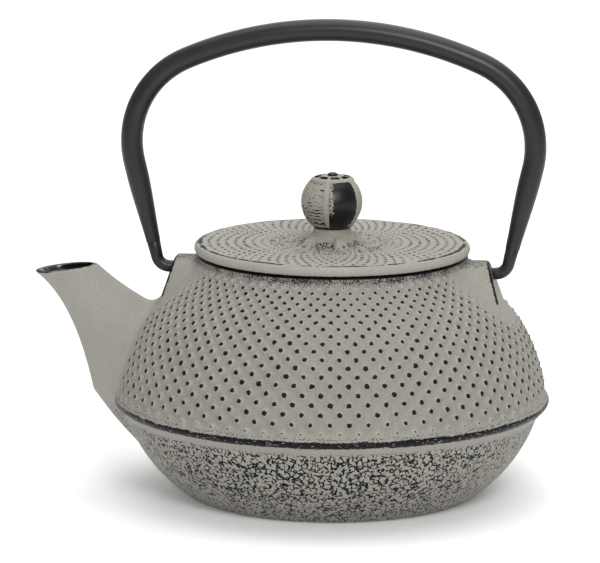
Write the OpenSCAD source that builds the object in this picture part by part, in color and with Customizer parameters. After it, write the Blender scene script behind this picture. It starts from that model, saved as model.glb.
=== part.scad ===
// Cast-iron teapot with a hobnail shoulder, a swinging bail handle, a lift-off lid and a mesh infuser.
// Millimetres, +Z up. The origin is the centre of the flat base and the spout points along -X.

/* [Pot] */
// Radius of the flat base
base_r = 54.5; // [50:0.5:55]
// Outermost radius, at the flange between the bowl and the shoulder
flange_r = 84.9; // [84:0.1:86]
// Height of the flange's edge above the table
flange_z = 36.9; // [36:0.1:38]
// Height of the mouth's rim
rim_z = 94; // [93.9:0.05:94]
// Radius of the neck under the lid
neck_r = 52.3; // [52:0.1:52.6]
// Thickness of the cast wall
wall = 3.2; // [2.8:0.1:3.6]
// Thickness of the cast floor
floor_t = 3.8; // [3:0.1:5]
// Clear radius of the mouth, below the infuser's ledge
mouth_r = 46; // [45.8:0.1:46.4]

/* [Spout] */
// Half the width of the spout's mouth across the pot
spout_mouth_w = 9.2; // [8:0.1:10]
// Half the width of the spout where it meets the body
spout_root_w = 15; // [13:0.5:16]
// Wall of the spout at its lip
spout_lip = 1.5; // [1.2:0.1:2]

/* [Handle] */
// Height of the handle's hinge pins
pivot_z = 87.3; // [87:0.1:87.6]
// Height of the top of the handle's centreline
handle_top = 181.1; // [180:0.1:184]
// Radius of the handle's grip
grip_r = 4.25; // [3.8:0.05:4.4]
// Sheet thickness of the rolled handle
handle_wall = 0.9; // [0.7:0.1:1]
// Radius of the hinge pins
pin_r = 2.25; // [2.1:0.05:2.3]
// Radial clearance of the hinge pins in the lugs
pin_gap = 0.2; // [0.1:0.05:0.3]

/* [Lid] */
// Outermost radius of the lid
lid_r = 53.5; // [53.3:0.1:53.8]
// Height of the edge of the lid's top
lid_top_z = 98.35; // [98.2:0.05:98.6]
// Number of petals around the knob's seat
petals = 6; // [5:1:7]

/* [Knob] */
// Radius of the ball
knob_r = 12.2; // [11.9:0.05:12.4]
// Number of slots around the top of the ball
knob_slots = 8; // [6:1:12]

/* [Infuser] */
// Inner radius of the mesh basket
basket_r = 40.2; // [39:0.1:40.2]
// Height of the infuser, from its rim to its underside
infuser_h = 49.5; // [40:0.5:49.5]
// Thickness of the woven mesh
mesh_t = 0.6; // [0.5:0.1:0.8]
// Thickness of the stainless sheet
sheet_t = 0.6; // [0.5:0.1:0.7]

/* [Hidden] */
$fn = 96;
eps = 0.01;
iron = [0.62, 0.61, 0.57];
enamel = [0.06, 0.06, 0.07];
black_steel = [0.13, 0.13, 0.14];
stainless = [0.74, 0.75, 0.77];

// The bowl and the shoulder are arcs through two points each.
bowl_low = [base_r + 1.7, 0];
bowl_high = [flange_r - 4.5, flange_z - 5.5];
bowl_arc_r = 60;
shoulder_low = [flange_r - 2.9, flange_z + 6.4];
shoulder_high = [59, 83.5];
shoulder_arc_r = 71.6;
flange_edge_r = 1.9;

// The mouth: a rim, and inside it the ledge that the infuser hangs on.
ledge_z = rim_z - 1.1;
ledge_r = 50;
neck_bead = 0.5;

// The lugs, in side view on +X: a sloping outer face and a nearly level top.
lug_top_z = 92.4;
lug_face_top_x = 60.9;
lug_face_low_x = 64.9;
lug_low_z = 76;
lug_root_x = 49;
lug_half_w = 8;
lug_corner_r = 4.5;
bore_end_x = 58.2;

// The handle's arch: a wide top arc, two corner arcs and two legs that lean in.
corner_r = 35.5;
corner_c = [42.8, 136.6];
leg_lean = 13.3;
taper_z = 119;
tube_end_z = 97;
tube_end_r = 2.6;
bend_r = 5;
hook_r = 2.4;
spigot_len = 7;
pin_end_gap = 0.8;

// The lid's seat stands a hair clear of the rim.
seat_gap = 0.15;
lid_low_z = rim_z + seat_gap;
lid_under_z = 96.2;
skirt_r = 43.5;
skirt_t = 2.3;
skirt_z = 88.5;
seat_z = 104.4;
seat_r = 7.2;
petal_r = 4.4;
petal_ring_r = 8.4;
petal_z = 101.4;
petal_turn = -10;

// The ball is cut flat where it sits and at its crown.
knob_c_z = 114.2;
knob_low_z = seat_z;
knob_high_z = 124.6;
knob_hollow_r = knob_r - 2.4;
slot_ring_r = 6.1;
slot_size = [0.8, 1.9];
slot_turn = 15;
rivet_r = 1.6;
rivet_hole_r = 1.75;
rivet_tip_r = 2;
rivet_tip_h = 1.1;
rivet_foot_r = 3.2;
rivet_foot_h = 1.6;
washer_r = 5.5;
washer_t = 0.8;

// The infuser's collar steps in from the mouth to the basket.
collar_r = 44;
collar_flange_r = ledge_r - 0.4;
collar_top_z = ledge_z + sheet_t + 0.05;
collar_step_z = 86;
sleeve_z = 80;
basket_out_r = basket_r + mesh_t;
infuser_low_z = collar_top_z - infuser_h;
band_h = 5;
band_lip = 3.3;
seam_w = 5;

// Centre of the arc of radius r that runs from p to q with its centre on the left.
function arc_centre(p, q, r) =
    let (d = q - p, l = norm(d), h = sqrt(r * r - l * l / 4))
    (p + q) / 2 + [-d[1], d[0]] / l * h;

// n + 1 points of an arc about c, from angle a0 to a1.
function arc(c, r, a0, a1, n) =
    [for (i = [0:n]) let (a = a0 + (a1 - a0) * i / n) c + r * [cos(a), sin(a)]];

function angle_of(c, p) = atan2(p[1] - c[1], p[0] - c[0]);

// The same arc by its end points.
function arc_between(p, q, r, n) =
    let (c = arc_centre(p, q, r)) arc(c, r, angle_of(c, p), angle_of(c, q), n);

function bezier2(a, b, c, t) = (1 - t) * (1 - t) * a + 2 * t * (1 - t) * b + t * t * c;
function bezier3(a, b, c, d, t) = (1 - t) * bezier2(a, b, c, t) + t * bezier2(b, c, d, t);
function curve2(a, b, c, n) = [for (i = [0:n]) bezier2(a, b, c, i / n)];

bowl_c = arc_centre(bowl_low, bowl_high, bowl_arc_r);
shoulder_c = arc_centre(shoulder_low, shoulder_high, shoulder_arc_r);

// ---------------------------------------------------------------- the pot

function flange_points() =
    let (
        c = [flange_r - flange_edge_r, flange_z],
        edge = arc(c, flange_edge_r, -35, 30, 4),
        under = curve2(bowl_high, bowl_high + [2.6, 1.6], edge[0], 4),
        over = curve2(edge[4], shoulder_low + [0.6, -3.9], shoulder_low, 5)
    )
    concat(under, edge, over);

function pot_outside() = concat(
    [[0, 0], [base_r, 0]],
    [for (p = arc_between(bowl_low, bowl_high, bowl_arc_r, 14)) if (p[1] > 0.3 && p[1] < bowl_high[1] - eps) p],
    flange_points(),
    [for (p = arc_between(shoulder_low, shoulder_high, shoulder_arc_r, 14)) if (p[1] > shoulder_low[1] + eps) p],
    curve2(shoulder_high, [54.4, 87.4], [neck_r, rim_z - 2.2], 6),
    [[neck_r + neck_bead, rim_z - 1.3], [neck_r + neck_bead, rim_z - 0.5], [neck_r, rim_z]]
);

function pot_inside() =
    let (
        high = angle_of(shoulder_c, [50.5, 86]),
        mid_up = asin((flange_z + 2 - shoulder_c[1]) / (shoulder_arc_r - wall)),
        mid_down = asin((flange_z - 2 - bowl_c[1]) / (bowl_arc_r - wall)),
        low = asin((floor_t - bowl_c[1]) / (bowl_arc_r - wall))
    )
    concat(
        [[0, rim_z + 1], [ledge_r, rim_z + 1], [ledge_r, ledge_z], [mouth_r, ledge_z], [mouth_r, ledge_z - 4.5]],
        arc(shoulder_c, shoulder_arc_r - wall, high, mid_up, 14),
        arc(bowl_c, bowl_arc_r - wall, mid_down, low, 14),
        [[0, floor_t]]
    );

module pot_solid() {
    rotate_extrude() polygon([for (p = pot_outside()) p, [0, rim_z]]);
}

module pot_body() {
    color(iron)
    difference() {
        pot_solid();
        rotate_extrude() polygon(pot_inside());
        spout_channel();
    }
}

// ---------------------------------------------------------------- the spout

// Upper and lower outlines in side view, from the mouth (t = 0) to the root (t = 1).
function spout_upper(t) = bezier3([-92.2, 87.5], [-86, 82], [-76, 73.5], [-60, 69], t);
function spout_lower(t) = bezier3([-116.3, 84.8], [-106.5, 77.3], [-98.5, 62], [-93.6, 38], t);
spout_heel_upper = [-58, 60];
spout_heel_lower = [-73.5, 13.5];
channel_end_upper = [-52, 63];
channel_end_lower = [-62, 36];

function spout_width(t) = spout_mouth_w + (spout_root_w - spout_mouth_w) * pow(t, 1.6);
function spout_wall(t) = spout_lip + (wall - spout_lip) * t;

// A station is [upper point, lower point, half width].
function outer_stations(n) = concat(
    [for (i = [0:n]) let (t = i / n) [spout_upper(t), spout_lower(t), spout_width(t)]],
    [[spout_heel_upper, spout_heel_lower, spout_root_w + 2]]
);

function shrunk(u, l, w, s) =
    let (v = (u - l) / norm(u - l)) [u - v * s, l + v * s, w - s];

function channel_stations(n) = concat(
    [let (v = (spout_upper(0) - spout_upper(0.1))) let (o = v / norm(v) * 3)
        shrunk(spout_upper(0) + o, spout_lower(0) + o, spout_width(0), spout_wall(0))],
    [for (i = [0:n]) let (t = 0.86 * i / n)
        shrunk(spout_upper(t), spout_lower(t), spout_width(t), spout_wall(t))],
    [[channel_end_upper, channel_end_lower, spout_root_w - wall]]
);

function station_ring(s, sides) =
    [for (k = [0:sides - 1])
        let (a = 360 * k / sides, c = (s[0] + s[1]) / 2, h = (s[0] - s[1]) / 2 * cos(a))
        [c[0] + h[0], s[2] * sin(a), c[1] + h[1]]];

// A closed surface through rings of points: capped at both ends, or carried on to its first ring.
module skin(rings, endless = false) {
    n = len(rings);
    sides = len(rings[0]);
    end = (n - 1) * sides;
    walls = [for (i = [0:(endless ? n - 1 : n - 2)], k = [0:sides - 1])
        let (here = i * sides, there = ((i + 1) % n) * sides, l = (k + 1) % sides)
        each [[here + k, here + l, there + k], [here + l, there + l, there + k]]];
    caps = [for (k = [1:sides - 2]) each [[0, k + 1, k], [end, end + k, end + k + 1]]];
    polyhedron([for (r = rings) each r], endless ? walls : concat(walls, caps));
}

module spout_channel() {
    skin([for (s = channel_stations(8)) station_ring(s, 24)]);
}

module spout() {
    color(iron)
    difference() {
        skin([for (s = outer_stations(10)) station_ring(s, 28)]);
        spout_channel();
        pot_solid();
    }
}

// ---------------------------------------------------------------- the lugs

module lug(side) {
    side_view = [
        [lug_root_x, lug_low_z], [lug_face_low_x + 0.6, lug_low_z], [lug_face_low_x, lug_low_z + 3],
        [lug_face_top_x + 0.7, lug_top_z - 1.2], [lug_face_top_x - 0.8, lug_top_z], [lug_root_x, lug_top_z - 1.6]
    ];
    color(iron)
    mirror([side < 0 ? 1 : 0, 0, 0])
    difference() {
        intersection() {
            rotate([90, 0, 0])
            linear_extrude(2 * lug_half_w, center = true) polygon(side_view);
            lug_front();
        }
        translate([bore_end_x, 0, pivot_z]) rotate([0, 90, 0])
        cylinder(r = pin_r + pin_gap, h = 20, $fn = 48);
        pot_solid();
    }
}

// The lug seen from its outer side: upright flanks that round over at the top.
module lug_front() {
    arch = concat(
        [[-lug_half_w, lug_low_z - 1], [lug_half_w, lug_low_z - 1]],
        arc([lug_half_w - lug_corner_r - 1, lug_top_z - lug_corner_r + 0.2], lug_corner_r, 0, 90, 6),
        arc([-lug_half_w + lug_corner_r + 1, lug_top_z - lug_corner_r + 0.2], lug_corner_r, 90, 180, 6)
    );
    translate([lug_root_x - 1, 0, 0]) rotate([90, 0, 90]) linear_extrude(30) polygon(arch);
}

module handle_lug_left() { lug(-1); }
module handle_lug_right() { lug(1); }

// ---------------------------------------------------------------- the handle

// The top arc's centre height: the arc is tangent to both corner arcs.
top_c_z = let (a = handle_top - corner_r, b = corner_c[1])
    (a + b - corner_c[0] * corner_c[0] / (a - b)) / 2;
top_r = handle_top - top_c_z;
top_half_angle = atan2(corner_c[0], corner_c[1] - top_c_z);
leg_top = corner_c + corner_r * [cos(leg_lean), -sin(leg_lean)];
function leg_at(z) = [leg_top[0] - (leg_top[1] - z) * tan(leg_lean), z];
// The bend is tangent to the leg and to the pin.
bend_tangent = bend_r * tan((90 - leg_lean) / 2);
bend_end_x = leg_at(pivot_z)[0] - bend_tangent;

// The centreline of the right half, from the tube's end up to the middle, as [x, z, radius].
function half_bow_path() = concat(
    [[leg_at(tube_end_z)[0], tube_end_z, tube_end_r], [leg_at(taper_z)[0], taper_z, grip_r]],
    [for (p = arc(corner_c, corner_r, -leg_lean, 90 - top_half_angle, 12)) [p[0], p[1], grip_r]],
    [for (i = [1:8]) let (a = 90 - top_half_angle * (1 - i / 8))
        [top_r * cos(a), top_c_z + top_r * sin(a), grip_r]]
);

function mirrored(path) = [for (i = [len(path) - 1:-1:0]) [-path[i][0], path[i][1], path[i][2]]];

function bow_path() =
    let (half = half_bow_path())
    concat(half, [for (i = [1:len(half) - 1]) mirrored(half)[i]]);

// The round section at point i of a path in the XZ plane, its radius less t.
function section(path, i, t, sides) =
    let (
        a = path[max(i - 1, 0)],
        b = path[min(i + 1, len(path) - 1)],
        d = [b[0] - a[0], b[1] - a[1]] / norm([b[0] - a[0], b[1] - a[1]]),
        p = path[i],
        r = path[i][2] - t
    )
    [for (k = [0:sides - 1]) let (w = 360 * k / sides)
        [p[0] - d[1] * r * cos(w), r * sin(w), p[1] + d[0] * r * cos(w)]];

// A bar swept along a path, hollow where its wall has a thickness t.
module bar(path, sides, t = 0) {
    n = len(path);
    outside = [for (i = [0:n - 1]) section(path, i, 0, sides)];
    inside = [for (i = [n - 1:-1:0]) section(path, i, t, sides)];
    if (t > 0) skin(concat(outside, inside), endless = true);
    else skin(outside);
}

module handle_bow() {
    color(black_steel) bar(bow_path(), 20, handle_wall);
}

function hook_path() = concat(
    [for (p = arc([bend_end_x, pivot_z + bend_r], bend_r, -90, -leg_lean, 6)) [p[0], p[1], hook_r]],
    [[leg_at(tube_end_z)[0], tube_end_z, tube_end_r]]
);

module hook(side) {
    pin_x = bore_end_x + pin_end_gap;
    spigot = leg_at(tube_end_z - 1);
    color(black_steel)
    mirror([side < 0 ? 1 : 0, 0, 0]) {
        bar(hook_path(), 24);
        translate([pin_x, 0, pivot_z]) rotate([0, 90, 0])
        cylinder(r = pin_r, h = bend_end_x + 0.6 - pin_x, $fn = 48);
        translate([spigot[0], 0, spigot[1]]) rotate([0, leg_lean, 0])
        cylinder(r = tube_end_r - handle_wall - 0.05, h = spigot_len + 1, $fn = 48);
    }
}

module handle_hook_left() { hook(-1); }
module handle_hook_right() { hook(1); }

// ---------------------------------------------------------------- the lid

function lid_profile() = concat(
    [[rivet_hole_r, lid_under_z], [rivet_hole_r, seat_z], [seat_r, seat_z]],
    curve2([seat_r, seat_z], [seat_r + 0.4, petal_z + 0.6], [petal_ring_r + 1.2, petal_z], 4),
    [[petal_ring_r + 1.6, lid_top_z + 1.1], [lid_r - 2.2, lid_top_z]],
    arc([lid_r - 2.2, lid_top_z - 2.2], 2.2, 80, 0, 6),
    [[lid_r - 0.3, lid_low_z], [ledge_r - 0.4, lid_low_z], [ledge_r - 0.4, lid_low_z + 1],
     [skirt_r, lid_low_z + 1], [skirt_r, skirt_z], [skirt_r - skirt_t, skirt_z],
     [skirt_r - skirt_t, lid_under_z - 0.7], [skirt_r - skirt_t - 3, lid_under_z]]
);

module lid() {
    color(iron) {
        rotate_extrude() polygon(lid_profile());
        for (i = [0:petals - 1])
            rotate([0, 0, petal_turn + 360 * i / petals]) translate([petal_ring_r, 0, lid_top_z - 0.5])
            cylinder(r = petal_r, h = petal_z - lid_top_z + 0.5, $fn = 32);
    }
}

// ---------------------------------------------------------------- the knob

module knob() {
    color(iron)
    difference() {
        intersection() {
            translate([0, 0, knob_c_z]) sphere(r = knob_r);
            translate([0, 0, knob_low_z]) cylinder(r = knob_r + 1, h = knob_high_z - knob_low_z);
        }
        intersection() {
            translate([0, 0, knob_c_z]) sphere(r = knob_hollow_r);
            translate([0, 0, knob_low_z + 2.2]) cylinder(r = knob_r, h = knob_high_z - knob_low_z - 4.4);
        }
        translate([0, 0, knob_low_z - 1]) cylinder(r = rivet_hole_r, h = 2 * knob_r + 2, $fn = 48);
        for (i = [0:knob_slots - 1])
            rotate([0, 0, slot_turn + 360 * i / knob_slots])
            translate([slot_ring_r - slot_size[0] / 2, -slot_size[1] / 2, knob_high_z - 4])
            cube([slot_size[0], slot_size[1], 6]);
    }
}

module knob_rivet() {
    foot_z = lid_under_z - washer_t - rivet_foot_h;
    tip = concat([[0, knob_high_z], [rivet_tip_r, knob_high_z]],
        curve2([rivet_tip_r, knob_high_z + 0.2], [rivet_tip_r - 0.3, knob_high_z + rivet_tip_h],
               [0, knob_high_z + rivet_tip_h], 5));
    color(enamel) {
        translate([0, 0, foot_z + eps]) cylinder(r = rivet_r, h = knob_high_z - foot_z, $fn = 48);
        translate([0, 0, foot_z]) cylinder(r = rivet_foot_r, h = rivet_foot_h, $fn = 48);
        rotate_extrude() polygon(tip);
    }
}

module knob_washer() {
    color(stainless)
    translate([0, 0, lid_under_z - washer_t])
    difference() {
        cylinder(r = washer_r, h = washer_t, $fn = 64);
        translate([0, 0, -1]) cylinder(r = rivet_hole_r, h = washer_t + 2, $fn = 48);
    }
}

// ---------------------------------------------------------------- the infuser

module infuser_collar() {
    t = sheet_t;
    profile = [
        [collar_r, collar_top_z], [collar_flange_r, collar_top_z], [collar_flange_r, collar_top_z - t],
        [collar_r + t, collar_top_z - t], [collar_r + t, collar_step_z],
        [basket_out_r + t, collar_step_z - 2.4], [basket_out_r + t, sleeve_z],
        [basket_out_r, sleeve_z], [basket_out_r, collar_step_z - 2], [collar_r, collar_step_z + 0.4]
    ];
    color(stainless) rotate_extrude() polygon(profile);
}

module tube(r1, r2, z1, z2) {
    rotate_extrude() polygon([[r1, z1], [r2, z1], [r2, z2], [r1, z2]]);
}

module infuser_mesh_wall() {
    color(stainless)
    tube(basket_r, basket_out_r, infuser_low_z + sheet_t + mesh_t, collar_step_z - 2.2);
}

// The lap where the mesh closes on itself, a strip on the outside at the back.
module infuser_seam() {
    low = infuser_low_z + band_h;
    color(stainless)
    intersection() {
        tube(basket_out_r, basket_out_r + 0.4, low, sleeve_z);
        translate([-seam_w / 2, 0, low]) cube([seam_w, basket_r + 5, sleeve_z - low]);
    }
}

module infuser_base_mesh() {
    color(stainless)
    translate([0, 0, infuser_low_z + sheet_t]) cylinder(r = basket_out_r, h = mesh_t);
}

module infuser_base_band() {
    lip_r = basket_out_r - band_lip;
    profile = [
        [lip_r, infuser_low_z], [basket_out_r + sheet_t, infuser_low_z],
        [basket_out_r + sheet_t, infuser_low_z + band_h], [basket_out_r, infuser_low_z + band_h],
        [basket_out_r, infuser_low_z + sheet_t], [lip_r, infuser_low_z + sheet_t]
    ];
    color(stainless) rotate_extrude() polygon(profile);
}

// ---------------------------------------------------------------- nodes

pot_body();
spout();
handle_lug_left();
handle_lug_right();
handle_bow();
handle_hook_left();
handle_hook_right();
lid();
knob();
knob_rivet();
knob_washer();
infuser_collar();
infuser_mesh_wall();
infuser_seam();
infuser_base_mesh();
infuser_base_band();
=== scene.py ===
"""Looks of a cast-iron teapot: hobnail shoulder, worn grey lacquer, bail handle, mesh infuser."""

import math
from math import asin, cos, pi, radians, sin

import bpy
import numpy as np
from mathutils import Matrix, Vector, noise
from mathutils.bvhtree import BVHTree


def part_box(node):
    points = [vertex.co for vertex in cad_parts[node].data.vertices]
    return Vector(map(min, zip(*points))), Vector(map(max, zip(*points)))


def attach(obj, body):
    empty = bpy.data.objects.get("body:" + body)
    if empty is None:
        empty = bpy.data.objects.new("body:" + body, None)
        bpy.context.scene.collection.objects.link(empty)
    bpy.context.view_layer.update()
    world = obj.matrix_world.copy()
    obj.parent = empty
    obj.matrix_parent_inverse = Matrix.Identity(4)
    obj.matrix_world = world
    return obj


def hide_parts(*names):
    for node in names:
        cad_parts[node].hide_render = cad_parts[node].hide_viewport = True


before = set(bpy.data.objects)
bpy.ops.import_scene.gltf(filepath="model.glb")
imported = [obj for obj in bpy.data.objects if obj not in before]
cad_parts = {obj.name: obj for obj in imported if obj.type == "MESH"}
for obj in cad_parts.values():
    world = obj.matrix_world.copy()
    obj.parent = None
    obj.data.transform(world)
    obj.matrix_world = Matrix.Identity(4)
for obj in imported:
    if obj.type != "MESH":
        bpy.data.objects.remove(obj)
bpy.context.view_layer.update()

MM = 0.001
TURN = 2 * pi


def box_mm(node):
    """A node's lowest and highest corners, in millimetres."""
    low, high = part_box(node)
    return np.array(low) / MM, np.array(high) / MM


# ---------------------------------------------------------------- driving dimensions, millimetres

pot_high = box_mm("pot_body")[1]
lid_low, lid_high = box_mm("lid")
knob_low, knob_high = box_mm("knob")
collar_low, collar_high = box_mm("infuser_collar")
wall_low, wall_high = box_mm("infuser_mesh_wall")
band_low, band_high = box_mm("infuser_base_band")
rivet_low, rivet_high = box_mm("knob_rivet")

FLANGE_R = pot_high[1]
FLANGE_Z = 36.9
RIM_Z = pot_high[2]
BASE_R = 54.5
NECK_R = 52.3
WALL = 3.2
FLOOR_T = 3.8
LEDGE_R = 50
LEDGE_Z = RIM_Z - 1.1
MOUTH_R = 46

BOWL_LOW = (BASE_R + 1.7, 0)
BOWL_HIGH = (FLANGE_R - 4.5, FLANGE_Z - 5.5)
BOWL_ARC_R = 60
SHOULDER_LOW = (FLANGE_R - 2.9, FLANGE_Z + 6.4)
SHOULDER_HIGH = (59, 83.5)
SHOULDER_ARC_R = 71.6
FLANGE_EDGE_R = 1.7

BUMPS_AROUND = 72
BUMP_COLUMNS = 8
BUMP_ROWS = 4
ROW_STRETCH = 1.03
ROW_PER_R = ROW_STRETCH * pi / BUMPS_AROUND
FIRST_ROW_Z = 43.7
BUMP_HEIGHT = 0.36
BUMP_REACH = 0.76
TOP_ROW = 19

PIVOT_Z = 87.3
HANDLE_TOP = 181.1
GRIP_R = 4.25

KNOB_R = knob_high[1]
KNOB_C = 114.2

LID_DOTS = 72
LID_RING_GAP = 3.45
LID_FIRST_RING = 47.9


# ---------------------------------------------------------------- camera, floor and light

def make_camera():
    """A long lens a little above and to the right of the front, aimed so that the pot fills the frame."""
    azimuth, elevation, roll = radians(5.3), radians(12), radians(0.27)
    distance, lens = 1.8, 276.9
    aim_left, aim_up = 0.01248, 0.03194
    target = Vector((0, 0, 0.05))
    back = Vector((sin(azimuth) * cos(elevation), -cos(azimuth) * cos(elevation),
                   sin(elevation)))
    right = Vector((cos(azimuth), sin(azimuth), 0))
    up = back.cross(right)
    place = target + back * distance
    aim = target - right * aim_left + up * aim_up
    data = bpy.data.cameras.new("camera")
    data.lens = lens
    data.sensor_width = 36
    data.clip_end = 20
    camera = bpy.data.objects.new("camera", data)
    bpy.context.scene.collection.objects.link(camera)
    look = (aim - place).to_track_quat("-Z", "Y").to_matrix().to_4x4()
    camera.location = place
    camera.rotation_euler = (look @ Matrix.Rotation(roll, 4, "Z")).to_euler()
    bpy.context.scene.camera = camera


def area_light(name, place, aim, size, watts):
    data = bpy.data.lights.new(name, "AREA")
    data.shape = "RECTANGLE"
    data.size, data.size_y = size
    data.energy = watts
    light = bpy.data.objects.new(name, data)
    light.location = place
    light.rotation_euler = (Vector(aim) - Vector(place)).to_track_quat("-Z", "Y").to_euler()
    bpy.context.scene.collection.objects.link(light)


def make_studio():
    scene = bpy.context.scene
    scene.view_settings.view_transform = "Standard"
    scene.view_settings.look = "None"
    world = bpy.data.worlds.new("studio")
    world.use_nodes = True
    sky = world.node_tree.nodes["Background"]
    sky.inputs["Color"].default_value = (1, 1, 1, 1)
    sky.inputs["Strength"].default_value = 0.44
    scene.world = world
    area_light("overhead", (0.1, 0.1, 1.4), (0, 0, 0.05), (1.5, 1.5), 13.5)
    area_light("front_key", (0.35, -1.45, 1.0), (0, 0, 0.08), (0.6, 0.6), 13)
    area_light("back_of_floor", (0.0, 2.4, 1.6), (0, 2.2, 0), (3.4, 1.6), 31)
    bpy.ops.mesh.primitive_plane_add(size=8, location=(0, 0, 0))
    floor = bpy.context.object
    floor.name = "floor"
    paint = Paint("floor_white")
    paint.set(Base_Color=(0.92, 0.92, 0.92, 1), Roughness=0.9, Specular_IOR_Level=0.1)
    paint.set(Emission_Color=(1, 1, 1, 1), Emission_Strength=0.10)
    floor.data.materials.append(paint.material)


# ---------------------------------------------------------------- curves, in millimetres

def arc_centre(p, q, r):
    """Centre, on the left of p to q, of the arc of radius r between them."""
    p, q = np.array(p, float), np.array(q, float)
    d = q - p
    length = np.hypot(*d)
    return (p + q) / 2 + np.array([-d[1], d[0]]) / length * math.sqrt(r * r - length * length / 4)


def arc(centre, r, a0, a1, n):
    return [(centre[0] + r * cos(a), centre[1] + r * sin(a)) for a in np.linspace(a0, a1, n + 1)]


def angle_of(centre, p):
    return math.atan2(p[1] - centre[1], p[0] - centre[0])


def arc_between(p, q, r, n):
    c = arc_centre(p, q, r)
    return arc(c, r, angle_of(c, p), angle_of(c, q), n)


def bezier(points, t):
    """A point of the Bezier curve with the given control points."""
    points = [np.array(p, float) for p in points]
    while len(points) > 1:
        points = [a * (1 - t) + b * t for a, b in zip(points, points[1:])]
    return points[0]


def curve(points, n):
    return [tuple(bezier(points, i / n)) for i in range(n + 1)]


def resample(points, gap):
    """The polyline with points about gap apart, its ends kept."""
    points = np.array(points, float)
    along = np.concatenate([[0], np.cumsum(np.hypot(*np.diff(points, axis=0).T))])
    n = max(1, round(along[-1] / gap))
    at = np.linspace(0, along[-1], n + 1)
    return np.stack([np.interp(at, along, points[:, i]) for i in range(points.shape[1])], 1)


# ---------------------------------------------------------------- mesh building

def make_object(name, points, faces, *materials):
    mesh = bpy.data.meshes.new(name)
    mesh.from_pydata([tuple(float(c) * MM for c in p) for p in points], [], faces)
    mesh.validate()
    obj = bpy.data.objects.new(name, mesh)
    bpy.context.scene.collection.objects.link(obj)
    for material in materials:
        mesh.materials.append(material)
    return obj


def finish_piece(obj, body, slot, *nodes, sharp=50):
    """Smooth shading with creases, and the piece's place in the frame."""
    mesh = obj.data
    mesh.polygons.foreach_set("use_smooth", np.ones(len(mesh.polygons), bool))
    mesh.set_sharp_from_angle(angle=radians(sharp))
    mesh.update()
    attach(obj, body)
    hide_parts(*nodes)


def turned(profile, columns):
    """Points and faces of a profile of (r, z) turned about Z. Points on the axis become poles."""
    angles = np.arange(columns) * TURN / columns
    points, rings = [], []
    for r, z in profile:
        if r < 1e-6:
            rings.append([len(points)])
            points.append((0, 0, z))
            continue
        rings.append(list(range(len(points), len(points) + columns)))
        points += [(r * cos(a), r * sin(a), z) for a in angles]
    return points, ring_faces(rings, columns)


def ring_faces(rings, columns):
    faces = []
    for low, high in zip(rings, rings[1:]):
        for k in range(columns):
            l = (k + 1) % columns
            if len(low) == 1:
                faces.append((low[0], high[l], high[k]))
            elif len(high) == 1:
                faces.append((low[k], low[l], high[0]))
            else:
                faces.append((low[k], low[l], high[l], high[k]))
    return faces


def turned_closed(profile, columns):
    """The same for a profile whose last point joins its first."""
    points, faces = turned(profile, columns)
    last = (len(profile) - 1) * columns
    ends = [list(range(last, last + columns)), list(range(columns))]
    return points, faces + ring_faces(ends, columns)


def lofted(rings, endless=False):
    """Points and faces of a skin through rings of points, capped, or carried on to its first ring."""
    rings = np.array(rings, float)
    n, sides = rings.shape[:2]
    faces = []
    for i in range(n if endless else n - 1):
        low, high = i * sides, ((i + 1) % n) * sides
        faces += [(low + k, high + k, high + (k + 1) % sides, low + (k + 1) % sides) for k in range(sides)]
    if not endless:
        faces += [tuple(range(sides)), tuple(range(n * sides - 1, (n - 1) * sides - 1, -1))]
    return rings.reshape(-1, 3), faces


def combine(obj, other, operation):
    """A boolean that keeps the other object's material on the faces that it makes."""
    step = obj.modifiers.new(operation, "BOOLEAN")
    step.operation = operation
    step.object = other
    step.solver = "MANIFOLD"
    step.material_mode = "TRANSFER"
    seen = obj.evaluated_get(bpy.context.evaluated_depsgraph_get())
    mesh = bpy.data.meshes.new_from_object(seen)
    obj.modifiers.clear()
    obj.data = mesh
    bpy.data.objects.remove(other)


def coordinates(mesh):
    """Vertex places in millimetres."""
    co = np.empty(len(mesh.vertices) * 3)
    mesh.vertices.foreach_get("co", co)
    return co.reshape(-1, 3) / MM


def set_coordinates(mesh, co):
    mesh.vertices.foreach_set("co", (co * MM).ravel())
    mesh.update()


def neighbour_smooth(mesh, co, weight, rounds):
    """Moves each vertex towards the mean of its neighbours, as far as its weight allows."""
    edges = np.empty(len(mesh.edges) * 2, np.int64)
    mesh.edges.foreach_get("vertices", edges)
    edges = edges.reshape(-1, 2)
    edges = edges[(weight[edges[:, 0]] > 0) | (weight[edges[:, 1]] > 0)]
    a, b = np.concatenate([edges[:, 0], edges[:, 1]]), np.concatenate([edges[:, 1], edges[:, 0]])
    count = np.maximum(np.bincount(a, minlength=len(co)), 1)
    for _ in range(rounds):
        mean = np.stack([np.bincount(a, co[b, i], len(co)) for i in range(3)], 1) / count[:, None]
        co = co + (mean - co) * (0.5 * weight)[:, None]
    return co


def set_attribute(mesh, name, values):
    layer = mesh.attributes.new(name, "FLOAT", "POINT")
    layer.data.foreach_set("value", np.asarray(values, np.float32))


def smooth_step(x, low, high):
    t = np.clip((np.asarray(x, float) - low) / (high - low), 0, 1)
    return t * t * (3 - 2 * t)


def lumps(co, size, seed):
    """Smooth noise from -1 to 1 at each place, with lumps of about the given size."""
    shift = Vector((seed, seed * 1.7, seed * 0.3))
    return np.array([noise.noise(Vector(p) / size + shift) for p in co])


# ---------------------------------------------------------------- materials

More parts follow.
